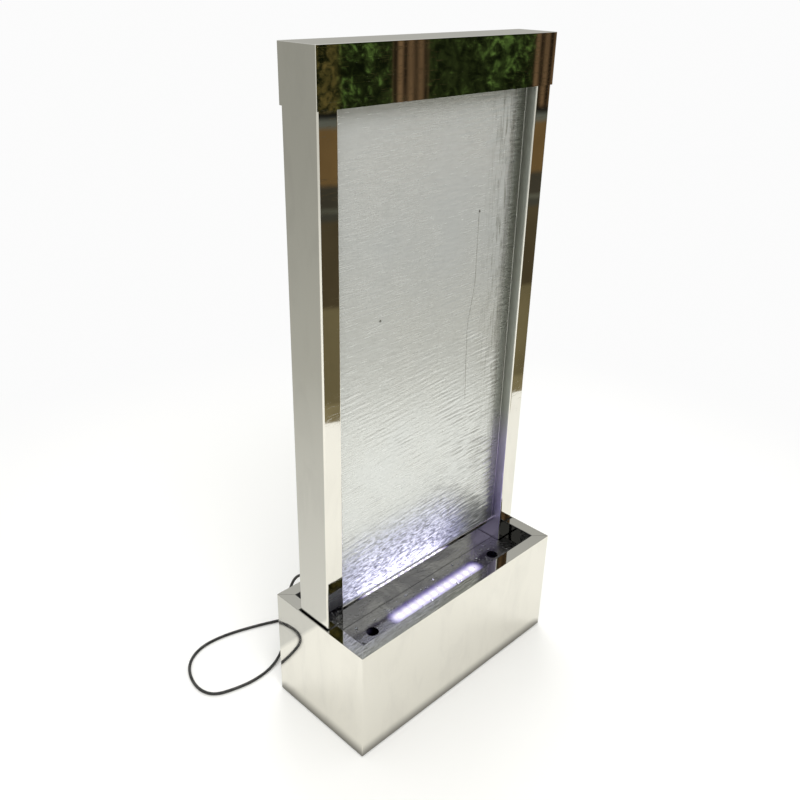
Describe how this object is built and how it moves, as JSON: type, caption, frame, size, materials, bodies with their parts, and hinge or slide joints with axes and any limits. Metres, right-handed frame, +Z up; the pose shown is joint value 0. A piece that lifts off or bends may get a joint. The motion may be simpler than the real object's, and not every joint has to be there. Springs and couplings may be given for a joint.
{
  "type": "tabletop water fountain",
  "caption": "Free-standing water wall fountain of polished stainless steel: basin with lift-out cover and lights, square posts, wet panel, header, pump and hose.",
  "frame": {"origin": "centre of the basin's footprint, at the level its foot pads stand on", "axes": "+X along the basin's long side, -Y is the front that the water runs down, +Z up"},
  "size_m": [0.5515, 0.3758, 1.015],
  "materials": {
    "steel_mirror": "mirror polished stainless steel sheet",
    "steel_wet": "satin stainless steel sheet under a film of water",
    "steel_plain": "plain stainless steel",
    "screw_steel": "bright stainless screws",
    "rubber_black": "soft black rubber",
    "cord_black": "smooth black cable sheath",
    "plastic_black": "moulded black plastic, fine grain",
    "plastic_blue_grey": "moulded dark grey plastic",
    "plastic_white": "white extruded plastic",
    "hose_clear": "translucent flexible hose",
    "led_clear": "clear domes, lit cool white",
    "board_green": "white solder mask",
    "foam_black": "open cell foam",
    "magnet_grey": "moulded ferrite and plastic",
    "ceramic_white": "polished ceramic",
    "pin_metal": "nickel plated brass"
  },
  "bodies": {
    "stand": {"basin": "steel_mirror", "foot_pads": "rubber_black", "front_ledge": "steel_plain", "left_ledge": "steel_mirror", "right_ledge": "steel_mirror", "led_brackets": "steel_plain", "rear_deck": "steel_mirror", "left_post": "steel_mirror", "right_post": "steel_mirror", "left_post_cap": "steel_plain", "right_post_cap": "steel_plain", "left_foot_angle": "steel_plain", "right_foot_angle": "steel_plain", "foot_screws": "screw_steel", "water_panel": "steel_wet", "panel_screws": "screw_steel", "weir_trough": "steel_plain", "spray_bar": "plastic_white", "spray_bar_plug": "rubber_black", "bar_clips": "plastic_white", "riser_hose": "hose_clear", "hose_clamp": "screw_steel", "led_channel": "plastic_white", "led_board": "board_green", "led_domes": "led_clear", "led_end_caps": "plastic_white", "led_lead": "cord_black", "pump_body": "plastic_black", "volute_cover": "plastic_blue_grey", "intake_cover": "plastic_blue_grey", "filter_foam": "foam_black", "impeller_shaft": "ceramic_white", "shaft_bush": "rubber_black", "outlet_barb": "plastic_black", "suction_cups": "rubber_black", "pump_lead": "cord_black", "cable_joint": "plastic_black", "cord_grommet": "rubber_black", "cord_relief": "rubber_black", "power_cord": "cord_black", "cord_coil": "cord_black", "coil_tie": "plastic_black", "cord_tail": "cord_black", "adapter_body": "plastic_black", "adapter_relief": "rubber_black", "adapter_pins": "pin_metal"},
    "lift_out_cover": {"cover_plate": "steel_mirror"},
    "header": {"header_cover": "steel_mirror"},
    "impeller": {"impeller": "magnet_grey"},
    "flow_dial": {"flow_dial": "plastic_blue_grey"}
  },
  "joints": [
    {"name": "cover_lift", "type": "slide", "parent": "stand", "child": "lift_out_cover", "axis": [0, 0, 1], "range_m": [0, 0.12]},
    {"name": "header_lift", "type": "slide", "parent": "stand", "child": "header", "axis": [0, 0, 1], "range_m": [0, 0.1]},
    {"name": "impeller_spin", "type": "hinge", "parent": "stand", "child": "impeller", "pos_m": [0.13, -0.055, 0.02975], "axis": [1, 0, 0], "continuous": true},
    {"name": "flow_dial_turn", "type": "hinge", "parent": "stand", "child": "flow_dial", "pos_m": [0.09, -0.055, 0.04], "axis": [1, 0, 0], "range_deg": [0, 120]}
  ]
}
